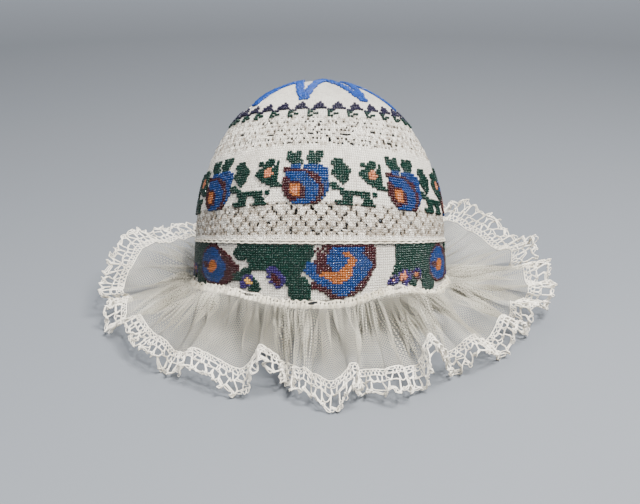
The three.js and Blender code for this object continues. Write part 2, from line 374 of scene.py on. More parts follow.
def is_eyelet(column, row):
    """A trellis in the lower openwork and slanting ferns in the upper, a few holes missed or extra."""
    low_first, low_last = LOWER_HOLES
    top_first, top_last = UPPER_HOLES
    chance = hole_chance[row, column % STITCHES]
    pair = row - row % 2
    slants = ((column + pair) % TRELLIS_STITCHES == 0) | ((column - pair) % TRELLIS_STITCHES == 0)
    extra = chance > HOLE_EXTRA
    trellis = (row >= low_first) & (row < low_last) & ((slants & (chance < TRELLIS_MADE)) | extra)
    fern = (row % 2 == 0) & (((column + row) % 4 == 0) | ((column - row) % 6 == 0))
    ferns = (row >= top_first) & (row < top_last) & ((fern & (chance < FERN_MADE)) | extra)
    return trellis | ferns


def towards_holes(column, row):
    """How far a corner of the lower knitting is drawn into the holes beside it, in stitches and rows."""
    drawn = np.zeros((2, len(column)))
    for side in (-1, 0):
        for level in (-1, 0):
            hole = is_eyelet(column + side, row + level) * (row < UPPER_HOLES[0] - 2)
            drawn += hole * HOLE_CLOSE * np.array([[side + 0.5], [level + 0.5]])
    return drawn.clip(-HOLE_CLOSE / 2, HOLE_CLOSE / 2)


# climb in metres where each round of openwork starts and ends
OPENWORK = ((0.0030, 0.0172), (0.0425, 0.0590))
# how far a stitch lies out of true, in degrees and metres, and how much farther in openwork
WOBBLE_TURN = 0.04
WOBBLE_CLIMB = 0.00004
OPEN_WOBBLE_TURN = 0.15
OPEN_WOBBLE_CLIMB = 0.00011
OPEN_WOBBLE_OUT = 0.00008
OPEN_RIDGE = 0.00033
crown_wobble = rng.normal(0, 1, (3, CROWN_ROWS + 1, STITCHES))


def crown_ground_place(turn, share):
    """Each stitch lies a little out of true, and the openwork is uneven and ridged between its holes."""
    column = np.round((turn + 180) / 360 * STITCHES).astype(int)
    row = np.round(share * CROWN_ROWS).astype(int)
    around, up, out = crown_wobble[:, row, column % STITCHES]
    sideways, upwards = towards_holes(column, row)
    climb = CROWN_START + share * (CROWN_CLIMB - CROWN_START)
    loose = sum(((climb > low) & (climb < high)) * 1.0 for low, high in OPENWORK)
    inside = ((row > 0) & (row < CROWN_ROWS)) * 1.0
    turn = turn + around * (WOBBLE_TURN + OPEN_WOBBLE_TURN * loose) * inside + sideways * 360 / STITCHES
    climb = climb + up * (WOBBLE_CLIMB + OPEN_WOBBLE_CLIMB * loose) * inside + upwards * row_climb
    slant = 2 * np.pi / TRELLIS_STITCHES
    ridge = np.cos(slant * (column + row)) * np.cos(slant * (column - row))
    return crown_place(turn, climb, (out * OPEN_WOBBLE_OUT - ridge * OPEN_RIDGE) * loose * inside)


crown_ground = grid_piece("crown_ground", STITCHES, CROWN_ROWS, crown_ground_place, STITCHES, CROWN_ROWS)
cut_cells(crown_ground, STITCHES, CROWN_ROWS, is_eyelet)
close_and_thicken(crown_ground, KNIT_THICKNESS)
crown_ground.data.materials.append(knit_finish("white_cotton_knit", OPEN_ROUNDS))
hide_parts("crown")
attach(crown_ground, "root")

# Seam ridge
# Two rounds of purl stitches stand up as a cord at the crown's lower edge and roll over the band.
# Each purl bump is a small bead of cotton leaning to one side.
RIDGE_THICK = 0.00062
RIDGE_APART = 0.0011
RIDGE_WAIST = 0.62
RIDGE_BUMP = 0.45
RIDGE_LEAN = 0.3
RIDGE_STEPS = 4
RIDGE_SIDES = 6
RING_THICK = 0.25


def cotton_finish(name, light, shade, grain, depth):
    """Plain spun cotton: fine uneven grain, and a slow change from clean to yellowed."""
    finish = Finish(name)
    fibre = finish.noise(grain, 3.0)
    cloud = finish.calc("MULTIPLY", finish.noise(60.0, 4.0), 0.6)
    mixed = finish.calc("ADD", cloud, finish.calc("MULTIPLY", fibre, 0.5))
    finish.shader(
        ("Base Color", finish.blend(mixed, 0.38, shade, 0.66, light)),
        ("Normal", finish.relief(fibre, 0.8, depth)),
        ("Roughness", 0.92),
        ("Sheen Weight", 0.2),
    )
    return finish.material


purl_cotton = cotton_finish("purl_cotton", (0.62, 0.575, 0.48), (0.28, 0.235, 0.165), 3000.0, 0.0005)


def add_ridge(name, climb, out, shift):
    """A ring of purl bumps at climb, a little out of the knitting and shifted round by shift stitches."""
    bpy.ops.object.select_all(action="DESELECT")
    bpy.ops.mesh.primitive_torus_add(
        major_segments=STITCHES * RIDGE_STEPS,
        minor_segments=RIDGE_SIDES,
        major_radius=1,
        minor_radius=RING_THICK,
    )
    ridge = bpy.context.object
    ridge.name = name
    points = np.empty(len(ridge.data.vertices) * 3)
    ridge.data.vertices.foreach_get("co", points)
    points = points.reshape(-1, 3)
    turn = np.degrees(np.arctan2(points[:, 0], -points[:, 1]))
    outward = (np.hypot(points[:, 0], points[:, 1]) - 1) / RING_THICK
    upward = points[:, 2] / RING_THICK
    lean = (turn / 360 * STITCHES + shift + upward * RIDGE_LEAN) * 2 * math.pi
    swell = RIDGE_WAIST + RIDGE_BUMP * np.cos(lean)
    placed = crown_place(turn, climb, 0)
    rise = crown_place(turn, climb + 0.001, 0) - placed
    rise /= np.linalg.norm(rise, axis=1)[:, None]
    outer = crown_place(turn, climb, 0.001) - placed
    outer /= np.linalg.norm(outer, axis=1)[:, None]
    placed += outer * (out + outward * swell * RIDGE_THICK)[:, None]
    placed += rise * (upward * swell * RIDGE_THICK)[:, None]
    ridge.data.vertices.foreach_set("co", placed.ravel())
    bpy.ops.object.shade_smooth()
    ridge.data.materials.append(purl_cotton)
    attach(ridge, "root")


add_ridge("seam_ridge_lower", CROWN_START, 0.0004, 0.0)
add_ridge("seam_ridge_upper", CROWN_START + RIDGE_APART, 0.0001, 0.5)

# Beads
# Each is a glass seed bead of about 1.2 mm, a short six-sided barrel with softened ends, threaded on the
# yarn and knitted in. They lie aslant, one on each stitch, and differ a little in size and depth of colour.
BEAD_RADIUS = 0.00066
BEAD_LENGTH = 0.00116
BEAD_SLANT = math.radians(24)
BEAD_OUT = 0.00042
BEAD_PITCH = 0.00118
BEAD_EDGE = 0.00017
BEAD_SLANT_WANDER = 0.18
BEAD_OUT_WANDER = 0.00005
BEAD_SIDE_WANDER = 0.00007
BEAD_DEPTHS = (0.72, 1.28)
BEAD_SIZES = (0.93, 1.06)
BEAD_COLOURS = {
    "B": (0.0024, 0.0155, 0.070),
    "C": (0.0008, 0.0225, 0.135),
    "R": (0.018, 0.0020, 0.0030),
    "O": (0.170, 0.050, 0.010),
    "P": (0.250, 0.088, 0.044),
    "G": (0.0010, 0.0112, 0.0074),
    "V": (0.014, 0.008, 0.050),
    "Y": (0.360, 0.190, 0.032),
    "N": (0.0035, 0.0022, 0.0125),
}

bpy.ops.object.select_all(action="DESELECT")
bpy.ops.mesh.primitive_cylinder_add(vertices=6, radius=BEAD_RADIUS, depth=BEAD_LENGTH)
bead_model = bpy.context.object
bpy.ops.object.mode_set(mode="EDIT")
bpy.ops.mesh.select_all(action="DESELECT")
bpy.ops.object.mode_set(mode="OBJECT")
for edge in bead_model.data.edges:
    ends = [bead_model.data.vertices[index].co.z for index in edge.vertices]
    edge.select = abs(ends[0] - ends[1]) < 1e-6
bpy.ops.object.mode_set(mode="EDIT")
bpy.ops.mesh.bevel(offset=BEAD_EDGE, segments=1, affect="EDGES")
bpy.ops.object.mode_set(mode="OBJECT")
bead_points = np.array([vertex.co[:] for vertex in bead_model.data.vertices])
bead_faces = [tuple(polygon.vertices) for polygon in bead_model.data.polygons]
bpy.data.objects.remove(bead_model)


def copies_mesh(name, points, faces, centres, axes, scales, colours):
    """One mesh of many copies: axes holds each copy's three directions, colours one colour for each copy."""
    count = len(centres)
    scaled = points[None, :, :] * scales[:, None, None]
    placed = centres[:, None, :] + np.einsum("cpk,ckx->cpx", scaled, axes)
    corners = np.concatenate([np.array(face) for face in faces])
    sizes = np.array([len(face) for face in faces])
    starts = np.concatenate([[0], np.cumsum(sizes)[:-1]])
    shift = np.arange(count)[:, None]
    mesh = bpy.data.meshes.new(name)
    mesh.vertices.add(count * len(points))
    mesh.vertices.foreach_set("co", placed.ravel())
    mesh.loops.add(count * len(corners))
    mesh.loops.foreach_set("vertex_index", (corners + shift * len(points)).ravel())
    mesh.polygons.add(count * len(faces))
    mesh.polygons.foreach_set("loop_start", (starts + shift * len(corners)).ravel())
    mesh.polygons.foreach_set("loop_total", np.tile(sizes, count))
    mesh.update()
    mesh.validate()
    tint = mesh.color_attributes.new("bead_colour", "FLOAT_COLOR", "POINT")
    rgba = np.column_stack([colours, np.ones(count)])
    tint.data.foreach_set("color", np.repeat(rgba, len(points), axis=0).ravel())
    mesh.shade_smooth()
    piece = bpy.data.objects.new(name, mesh)
    bpy.context.collection.objects.link(piece)
    return piece


def glass_finish():
    """Seed-bead glass: the bead's own colour, deeper where the noise is low, under a hard shine."""
    finish = Finish("seed_bead_glass")
    tint = finish.add("ShaderNodeAttribute", attribute_name="bead_colour").outputs["Color"]
    strength = finish.calc("MULTIPLY_ADD", finish.noise(900.0, 2.0), 0.7, 0.65)
    shade = finish.add("ShaderNodeVectorMath", [(0, tint), ("Scale", strength)], operation="SCALE")
    finish.shader(
        ("Base Color", shade.outputs[0]),
        ("Roughness", 0.3),
        ("Specular IOR Level", 0.02),
        ("IOR", 1.52),
        ("Coat Weight", 0.17),
        ("Coat IOR", 2.1),
        ("Coat Roughness", 0.05),
    )
    return finish.material


bead_glass = glass_finish()


def lay_beads(name, place, turns, climbs, letters):
    """Beads at (turn, climb) on the surface that place gives, coloured by their chart letters."""
    turns = np.asarray(turns, float)
    climbs = np.asarray(climbs, float)
    count = len(turns)
    near = 0.2
    centres = place(turns, climbs, BEAD_OUT)
    across = place(turns + near, climbs, BEAD_OUT) - place(turns - near, climbs, BEAD_OUT)
    outward = place(turns, climbs, BEAD_OUT + 0.001) - centres
    across /= np.linalg.norm(across, axis=1)[:, None]
    outward /= np.linalg.norm(outward, axis=1)[:, None]
    rise = np.cross(outward, across)
    slant = BEAD_SLANT + rng.normal(0, BEAD_SLANT_WANDER, count)
    hole = across * np.cos(slant)[:, None] + rise * np.sin(slant)[:, None]
    side = np.cross(hole, outward)
    axes = np.stack([side, outward, hole], axis=1)
    centres = centres + outward * rng.normal(0, BEAD_OUT_WANDER, count)[:, None]
    for way in (across, rise):
        centres += way * rng.normal(0, BEAD_SIDE_WANDER, count)[:, None]
    colours = np.array([BEAD_COLOURS[letter] for letter in letters])
    colours = colours * rng.uniform(*BEAD_DEPTHS, count)[:, None]
    sizes = rng.uniform(*BEAD_SIZES, count)
    piece = copies_mesh(name, bead_points, bead_faces, centres, axes, sizes, colours)
    piece.data.materials.append(bead_glass)
    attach(piece, "root")


def chart_cells(chart, repeats, around, first_turn):
    """Every bead of a chart that is repeated round the cap: turn, row from the chart's foot, letter."""
    turns = []
    rows = []
    letters = []
    width = len(chart[0])
    for repeat in range(repeats):
        for line, text in enumerate(chart):
            for column, letter in enumerate(text):
                if letter != ".":
                    turns.append(first_turn + (repeat * width + column + 0.5) * 360 / around)
                    rows.append(len(chart) - 1 - line)
                    letters.append(letter)
    return np.array(turns), np.array(rows), letters


# Star
# Eight long points of bright blue beads start at the top of the crown, each an outline three beads wide.
# The knitting inside them stays white.
STAR_TIP = 0.0425
STAR_FIRST_TURN = -11.5
STAR_SWIRL = -7.0
STAR_BLUNT = 0.0023
STAR_LINE = 0.0038
STAR_SPREAD = 0.20
STAR_OPEN_TOP = 0.010
STAR_POINTS = 8
POINT_TURN = 360 / STAR_POINTS


def star_beads():
    turns = []
    climbs = []
    letters = []
    for row in range(CROWN_ROWS):
        climb = CROWN_START + (row + 0.5) * row_climb
        from_top = CROWN_CLIMB - climb
        if from_top > STAR_TIP or from_top < STAR_OPEN_TOP:
            continue
        radius = np.interp(climb, profile_climb, profile_radius)
        count = STAR_POINTS * max(1, round(2 * math.pi * radius / BEAD_PITCH / STAR_POINTS))
        for bead in range(count):
            turn = (bead + 0.5 + 0.5 * (row % 2)) * 360 / count
            swirl = STAR_SWIRL * (STAR_TIP - from_top) / STAR_TIP
            wedge = (turn - STAR_FIRST_TURN - swirl + POINT_TURN / 2) % POINT_TURN - POINT_TURN / 2
            along = from_top * math.cos(math.radians(wedge))
            aside = from_top * abs(math.sin(math.radians(wedge)))
            outline = STAR_BLUNT + STAR_SPREAD * (STAR_TIP - along)
            if outline - STAR_LINE <= aside <= outline:
                turns.append(turn)
                climbs.append(climb)
                letters.append("C")
    return turns, climbs, letters


lay_beads("star_beads", crown_place, *star_beads())

# Zigzag round
# Thirty small dark blue peaks, each with a tail that runs down to a green tuft, go round under the star.
# The chart is seven stitches wide.
ZIGZAG_CHART = [
    "....N..",
    "...NNN.",
    "..NNNN.",
    "..NNNNN",
    "NNN....",
    "GG.....",
    "G.GG...",
    "GG.....",
]
ZIGZAG_PEAKS = 30
ZIGZAG_STITCHES = 210
ZIGZAG_FIRST_TURN = -7.5
ZIGZAG_FOOT = 0.0592
ZIGZAG_ROW = 0.00122
zigzag_turns, zigzag_rows, zigzag_letters = chart_cells(
    ZIGZAG_CHART, ZIGZAG_PEAKS, ZIGZAG_STITCHES, ZIGZAG_FIRST_TURN
)
lay_beads(
    "zigzag_beads",
    crown_place,
    zigzag_turns,
    ZIGZAG_FOOT + (zigzag_rows + 0.5) * ZIGZAG_ROW,
    zigzag_letters,
)

# Garland
# Eight blue and dark red roses on a green stem, with leaves and small pink-eyed flowers between them.
# The chart is forty-two stitches wide and twenty-two rounds high.
GARLAND_CHART = [
    "...GG..GG...GG.GGG........................",
    "...GGGGGG...GGGGGG........................",
    "...GGGGGG..GGGGGGG........................",
    "...GGGGGG..GGGGGG.....GGGG...........GGG..",
    "....GGGGGG..GGGGG....GGGGG.......GG.GGGG.G",
    ".....GGGGG..GGGG.....GGGGGG......GGGGGGG.G",
    ".....BBBB.BBBBBBBB....GGGGGG.......GGGG.GG",
    "..RRRBBBB.BBBBBBBBBB..GGGGGGG....GGGGPPGGG",
    "..RRRRRRRRRRBBBBBBBB.GGGGGGGG...GGGGPPPGGG",
    "...BBBBBBBBRRRBBBBBB.GGGGGGG....GGGGPPPPGG",
    "...BBBBBBBBBRRRRBBBB..GGGGGG.....GGGPPPGGG",
    "..RRBBBBBBBBBRRRRBBB...GGGGG......GGGGGGGG",
    "..RRRBBBBBBBBBRRRBBB....GGG........GGGGGGG",
    "G.RRRRRRRBBBBBBRRBBBGGG..G...........GGGGG",
    "GGRRROOOORBBBBBBRRBBGGGG...............GGG",
    "..RRROOPORRBBBBBRRBB.GGGGG................",
    "..RRROPPORRBBBBBRRBB....GGGGGGGGGGGG.GG...",
    "...RROPPORRBBBBBRRB.....GGGGGGGGGGGG.GG...",
    "...RRROOORRBBBBBRRB......GGGG...GGGG......",
    "....RRRRRRRBBBBRRB.......GGGG....GGGG.....",
    ".....RRRBBBBBBBRR.....GGGGGGG....GGGG.....",
    "......BBBBBBBRRR.......GGGGGG...GGGGGG....",
]
GARLAND_FOOT = 0.0178
GARLAND_ROW = 0.001064
GARLAND_FIRST_TURN = -18.2
GARLAND_STRETCH = 3.8
GARLAND_STRETCH_FROM = -7
GARLAND_ROSES = 8
garland_turns, garland_rows, garland_letters = chart_cells(
    GARLAND_CHART, GARLAND_ROSES, STITCHES, GARLAND_FIRST_TURN
)
garland_turns = garland_turns + GARLAND_STRETCH * np.sin(np.radians(garland_turns - GARLAND_STRETCH_FROM))
lay_beads(
    "garland_beads",
    crown_place,
    garland_turns,
    GARLAND_FOOT + (garland_rows + 0.5) * GARLAND_ROW,
    garland_letters,
)

# Band ground
# The band is a straight strip of the same white knitting round the head, almost hidden by its beads.
# Its upper edge runs up under the crown's ridge, and its lower edge is the cap's rim.
SEAM_OVERHANG = 0.0006
BAND_ROWS = 22
BAND_LEAST_ROW = 0.00094
UNDER_RIDGE = 0.0016


def band_ends(turn, out):
    upper = ring_points(turn, CROWN_RADIUS - SEAM_OVERHANG + out, np.zeros_like(turn))
    upper = tip_back(upper, SEAM_TILT) + seam_centre
    lower = ring_points(turn, RIM_RADIUS + out, np.zeros_like(turn))
    return tip_back(lower, LEAN) + rim_centre, tip_back(upper, LEAN) + rim_centre


def band_place(turn, climb, out):
    turn, climb, out = np.broadcast_arrays(np.asarray(turn, float), climb, out)
    lower, upper = band_ends(turn, out)
    height = np.linalg.norm(upper - lower, axis=1)
    return lower + (upper - lower) * (climb / height)[:, None]


def band_height(turn):
    lower, upper = band_ends(np.asarray(turn, float), np.zeros(len(turn)))
    return np.linalg.norm(upper - lower, axis=1)


band_ground = grid_piece(
    "band_ground",
    STITCHES,
    BAND_ROWS,
    lambda turn, share: band_place(turn, share * (band_height(turn) + UNDER_RIDGE), 0.0),
    STITCHES,
    BAND_ROWS,
)
close_and_thicken(band_ground, KNIT_THICKNESS)
band_ground.data.materials.append(knit_finish("white_band_knit", ()))
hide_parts("bead_band")
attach(band_ground, "root")

# Band beads
# Six large roses of two kinds have thick dark red outlines, with dense green leaves and small flowers
# between them. The chart has one rose of each kind. It is 112 stitches wide and 24 rounds high, each of them
# two lines of text. At the sides the top rounds go under the crown.
BAND_CHART = [
    "GGGGGGGGGGGGGGG.............GGGGGGGGGGGGGGGGGGGGGGGGGGGG"
    "GGGGG......RRRRRRRRRRRRRRRRR...........GGGGGGGGGGGGGGGGG",
    "GGGGGGGGGG.RRRR.............GGGGGGGGGGGGGGGGGGGGGGGGGGGG"
    "GGGGG...RRRRRRRRRRRRRRRRRRRRR..........GGGGGGGGGGGGGGGGG",
    "GGGGGGGGGRRRRRRR............GGGGGGGGGGGGGGGGGGGGGGGGGGGG"
    "GGGGG.R.R.RRBBBBBBBBBBBBBRRRRR.........GGGGGGGGGGGGGGGGG",
    "GGGGGGGRRRBBBBBRRRR........GGGGGGGGGGGGGGGGGGGGGGGGGGGGG"
    "GGGGGR.R.RRBBBBBBBBBBBBBBRRRRR.........GGGGGGGGGGGGGGGGG",
    "GGGGGGRRBBBBBBBBBRRRR.....GGGGGGGGGGGGGGGGGGGGGGGGGGGGGG"
    "GGGGG.RRRRRBBBBBOOOBBBBBRRRRRR.........GGGGGGGGGGGGGGGGG",
    "GGGGGRRBBBBBBBBBBRRRRR....GGGGGGGGGGGGGGGGGGGGGGGGGGGGGG"
    "GGGGG.RRRRBBBBBBBOOOBBBBBRRRRR.........GGGGGGGGGGGGGGGGG",
    "GGGGRBBBBBBBBBBBBBRRRRRR...GGGGGGGGGGGGGGGGGGGGGGGGGGGGG"
    "GGGG..RRRRBBBBBBBBBOOBBBBBRRRR.........GGGGGGGGGGGGGGGGG",
    "GGGGRBBBBBBBBBBBBBBRRRRRR...GGGG.GGGGGGGGGGGGGGGGGGGGGGG"
    "GGGG.RRRRRBBBBBBBBOOOOBBBBBRRR.........GGGGGGGGGGGGGGGGG",
    "GGGRBBBBBBBBBBBBBBBBRRRRRR.......GGGGGGGGGGGGGGGGGGGGGGG"
    "GGBBBRRRRRBBBBBBBBOOOBBBBBBBRR.........GGGGGGGGGGGGGGGGG",
    "GGGRBBBBBBBOOOOBBBBBBRRRRRR.......GGGGGGGGGGGGGGGGGGGGGG"
    "GGBBBBRRRRRBBBBBBOOOOBBBBBBBRR.........GGGGGGGGGGGGGGGGG",
    "GGGRBRRRRBOOOOOOBBBBBBRRRRRRR.....GGGGGGGGGVVVGGGGGGGGGG"
    "GGBBBBRRRRRRBBBBOOOOBBBBBBBBRR........GGGGGGGGGGGGGGGGGG",
    "GGGRBRRRRROOOOOOBBBBBBRRRRRRR..GGGGGGGGGGGVVVVVGGGGGGGGG"
    "GBBBBBRRRRRRBBBOOOOOBBBBBBBRR.........GGGGGGGGGGGGGGGGGG",
    "GGGRBBRRRROOOOOOBBBBBBRRRRRRR.GGGGG.......VVVVVVGGGGGGGG"
    "..BBBBRROOOOOOOOOOOOBBBBBBRR..........GGGGV.VGGGGV.VGGGG",
    "GGGRBBBBBOOOOOOBBBBBBRRRRRRRGGGGGGG........VRRVVVGGGGGGG"
    "...BBBBOOOOOOOOOOOOOBBBBBBRR.........GGGV.VPVGVRV.VGV.GG",
    "GGGRBBBBBBOOOOBBBBBBBRRRRRGGGGGGVVVV......VVRRRVVVGGGGGG"
    "GG..BBBBBOOOOOOOOOOBBBBBBRR...........VGVPPPVVVVROORVGGG",
    "GGGRRBBBBBBBBBBBBBBBBRRRRRRGGGGVVYVVG.......RRRRVVGGGGGG"
    "GGG..BBBBBBOOOOOOOBBBBBBRRR.........NNNVRPPPPVVGROORV.GG",
    "GGGGRRBBBBBBBBBBBBBBRRRRRRGGGGGVYYYVGG.....VVRRRVVGGGGGG"
    "GGG.RRBBBBBBOOOOBBBBBBBRRR.........VVPVVGPRPVGVGGRRRV.GG",
    "GGGGGRRBBBBBBBBBBBBRRRRRR.....VVVYYYGGG......VRRV.GGGGGG"
    "GGGGRRRRBBBBBBBBBBBBBBRRRR.........VVVVV..RVVVGGGGR..GGG",
    "GGGGGG.RRBBBBBBBBBRRRRR.......VVVVVGGGG.......VV...GGGGG"
    "GGGGRRRRRRBBBBBBBBBBBRRRR...........NN....VVV.GGGG....GG",
    "GGGGGGG..RRRRRRRRRRRR.........VVV.GGGGGG...........GGGGG"
    "GGGG...RRRRRBBBBBBBBBRRR...................VV..GGG....GG",
    "GGGGGGG...........................GGGGG............GGGGG"
    "GGGG.....RRRBBBBBBBRRR................................GG",
    "GGGGGGG............................................GGGGG"
    "GGGG......RRRRBBBBRRR.................................GG",
    "GGGGGG..............................................GGGG"
    "GGGG.......RRRRRR......................................G",
    "GGGGG................................................GGG"
    "GGG....................................................G",
]
BAND_FIRST_TURN = -67.9
BAND_REPEATS = 3
band_turns, band_rows, band_letters = chart_cells(BAND_CHART, BAND_REPEATS, STITCHES, BAND_FIRST_TURN)
heights = band_height(band_turns)
row_heights = np.maximum(heights / BAND_ROWS, BAND_LEAST_ROW)
band_climbs = (band_rows + 0.5) * row_heights
shows = band_climbs < heights + UNDER_RIDGE
is_rose = np.array([letter in "RBOP" for letter in band_letters])
for piece_name, chosen in (("band_rose_beads", shows & is_rose), ("band_leaf_beads", shows & ~is_rose)):
    lay_beads(
        piece_name,
        band_place,
        band_turns[chosen],
        band_climbs[chosen],
        [letter for letter, keep in zip(band_letters, chosen) if keep],
    )

# Frill heading
# A narrow strip of soft white cotton, drawn up in fine gathers, joins the frill to the rim.
# It has a row of pinholes from the drawing thread and a few larger gaps where the stitches have given way.
HEADING_SIDE = 0.004
HEADING_FRONT_EXTRA = 0.0005
HEADING_BACK_LESS = 0.002
HEADING_FLARE = 0.45
HEADING_START = 0.001
HEADING_SHOWS = 0.62
HEADING_THICKNESS = 0.0003
HEADING_TOP = 0.0002
HEADING_HEM = 0.0006
HEADING_SPREAD = 0.0004
HEADING_PUFF = 0.0003
HEADING_GATHER = 0.0006
HEADING_GATHERS = 168
HEADING_FOLD = 0.0005
HEADING_WAVE = 0.0004
HEADING_STEPS = 8
HEADING_COLUMNS = HEADING_GATHERS * HEADING_STEPS
HEADING_ROWS = 12
HOLE_ROW = HEADING_ROWS - 4
PINHOLE_COLUMNS = 6
PINHOLE_LAST_TURN = 75
GAP_ROWS = 2.8
# turn and width of each gap, in degrees
HEADING_GAPS = ((-31.0, 4.4), (-3.2, 3.4), (33.5, 3.8), (86.0, 3.0))


def heading_depth(turn):
    to_front = np.cos(np.radians(turn))
    front = HEADING_FRONT_EXTRA * to_front.clip(0) ** 2
    return HEADING_SIDE + front - HEADING_BACK_LESS * (-to_front).clip(0)


def uneven(turn, waves, seed, strength):
    """A phase that runs round the cap in an uneven but closed way, in radians."""
    drift = np.random.default_rng(seed)
    phase = np.radians(turn) * waves
    for order in range(2, 12):
        phase = phase + strength * drift.normal() * np.sin(np.radians(turn) * order + drift.uniform(0, 6.3))
    return phase


# turn in degrees, and how far the strip has ridden up over the beads there, in metres
HEADING_RIDE = np.array(
    [
        (-180, 0.0004),
        (-110, 0.0008),
        (-90, 0.0012),
        (-70, 0.0022),
        (-55, 0.0036),
        (-44, 0.0044),
        (-36, 0.0036),
        (-28, 0.0026),
        (-16, 0.0004),
        (8, 0.0002),
        (16, 0.0018),
        (23, 0.0042),
        (31, 0.0056),
        (38, 0.0052),
        (46, 0.0030),
        (54, 0.0006),
        (62, 0.0006),
        (72, 0.0024),
        (84, 0.0022),
        (110, 0.0008),
        (180, 0.0004),
    ]
)


def ridden_up(turn):
    wrapped = (turn + 180) % 360 - 180
    return sum(np.interp((wrapped + nudge + 180) % 360 - 180, *HEADING_RIDE.T) for nudge in (-3, 0, 3)) / 3


def heading_place(turn, share):
    depth = heading_depth(turn) * HEADING_SHOWS
    up = ridden_up(turn)
    radius = RIM_RADIUS + HEADING_START + (HEADING_SPREAD + HEADING_FLARE * depth) * share
    puff = HEADING_PUFF * np.sin(np.pi * share)
    gather = HEADING_GATHER * np.sin(uneven(turn, HEADING_GATHERS, 5, 1.6)) * (0.35 + 0.65 * share)
    fold = HEADING_FOLD * np.sin(uneven(turn, 61, 6, 1.2)) * share
    edge = HEADING_WAVE * np.sin(uneven(turn, 83, 7, 1.5)) * (1 - share)
    height = up + edge + HEADING_TOP - (depth + HEADING_HEM) * share
    return tip_back(ring_points(turn, radius + puff + gather + fold, height), LEAN) + rim_centre


heading = grid_piece(
    "frill_heading_strip",
    HEADING_COLUMNS,
    HEADING_ROWS,
    lambda turn, share: heading_place(turn, 1 - share),
    HEADING_COLUMNS,
    HEADING_ROWS,
)


def is_heading_hole(column, row):
    turn = (column + 0.5) / HEADING_COLUMNS * 360 - 180
    hole = (np.abs(row - HOLE_ROW) < 2) & (column % PINHOLE_COLUMNS < 2) & (np.abs(turn) < PINHOLE_LAST_TURN)
    for middle, width in HEADING_GAPS:
        reach = np.sqrt((1 - ((turn - middle) / (width / 2)) ** 2).clip(0))
        hole |= (np.abs(row - HOLE_ROW) <= GAP_ROWS * reach) & (reach > 0)
    return hole


cut_cells(heading, HEADING_COLUMNS, HEADING_ROWS, is_heading_hole)
close_and_thicken(heading, HEADING_THICKNESS)
heading_cotton = cotton_finish("heading_cotton", (0.60, 0.56, 0.46), (0.22, 0.185, 0.125), 1500.0, 0.0010)
heading.data.materials.append(heading_cotton)
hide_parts("frill_heading")
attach(heading, "root")

# Net frill
# The frill is a wide strip of very fine machine net, gathered on the heading and spread in deep round folds.
# It lies on the table in front and stands up behind. Near the heading it is creased into many small pleats.
NET_WIDTH = 0.043
NET_LENGTH = 0.88
LACE_WIDTH = 0.015
FRILL_WIDTH = NET_WIDTH + LACE_WIDTH
ROOT_UNDER_STRIP = 0.0009
CLOTH = 0.001
# the least height of the net's middle above the table
NET_CLEAR = 0.0005
FOLD_STEPS = 48
FRILL_STEPS = 58
RIDE_OUT = 0.2
# the point between heading and edge that each fold bows towards, as shares of the way and of the width
BELLY_ALONG = 0.42
BELLY_OUT = 0.04
BELLY_UP = 0.3
# turn and edge in degrees, reach and lift as shares of the frill's width, as in the CAD model
FRILL_FOLDS = np.array(
    [
        (-118, -111, 0.91, 0.50),
        (-106, -98, 0.84, 0.35),
        (-97, -86, 0.81, 0.22),
        (-90, -87, 0.71, 0.11),
        (-83, -81, 0.74, 0.17),
        (-74, -75, 0.82, 0.00),
        (-66, -68, 0.66, 0.19),
        (-57, -51, 0.71, 0.14),
        (-49, -43, 0.73, 0.00),
        (-41, -35, 0.68, 0.15),
        (-30, -21, 0.77, 0.00),
        (-21, -15, 0.60, 0.34),
        (-13, -10, 0.59, 0.00),
        (-5, -5, 0.73, 0.09),
        (3, 3, 0.89, 0.00),
        (9, 8, 0.78, 0.19),
        (15, 11, 0.72, 0.00),
        (21, 18, 0.82, 0.11),
        (28, 28, 0.76, 0.00),
        (35, 30, 0.65, 0.37),
        (41, 40, 0.68, 0.00),
        (47, 47, 0.68, 0.17),
        (54, 58, 0.75, 0.00),
        (61, 64, 0.70, 0.22),
        (68, 75, 0.78, 0.00),
        (74, 75, 0.71, 0.26),
        (81, 87, 0.91, 0.12),
        (88, 88, 0.93, 0.30),
        (94, 93, 0.94, 0.24),
        (100, 96, 0.96, 0.39),
        (106, 103, 0.88, 0.28),
        (113, 102, 0.99, 0.55),
        (120, 111, 0.92, 0.43),
        (128, 121, 0.93, 0.58),
        (137, 129, 0.95, 0.67),
        (147, 141, 0.91, 0.52),
        (160, 157, 0.91, 0.00),
        (172, 170, 0.91, 0.24),
        (184, 184, 0.91, 0.00),
        (196, 196, 0.91, 0.24),
        (207, 207, 0.91, 0.00),
        (220, 220, 0.89, 0.32),
        (232, 234, 0.88, 0.39),
    ]
)
fold_count = len(FRILL_FOLDS)


def fold_values(step):
    """Turn, edge, reach and lift at places between the rows of the fold table."""
    index = np.floor(step).astype(int)
    share = (step - index)[:, None]
    rows = [FRILL_FOLDS[(index + offset) % fold_count].copy() for offset in (-1, 0, 1, 2)]
    for offset, row in zip((-1, 0, 1, 2), rows):
        row[:, :2] += 360.0 * np.floor((index + offset) / fold_count)[:, None]
    before, here, after, beyond = rows
    smooth = 0.5 * (
        2 * here
        + (after - before) * share
        + (2 * before - 5 * here + 4 * after - beyond) * share**2
        + (3 * here - before - 3 * after + beyond) * share**3
    )
    eased = here + (after - here) * (1 - np.cos(np.pi * share)) / 2
    return smooth[:, 0], smooth[:, 1], eased[:, 2], eased[:, 3]


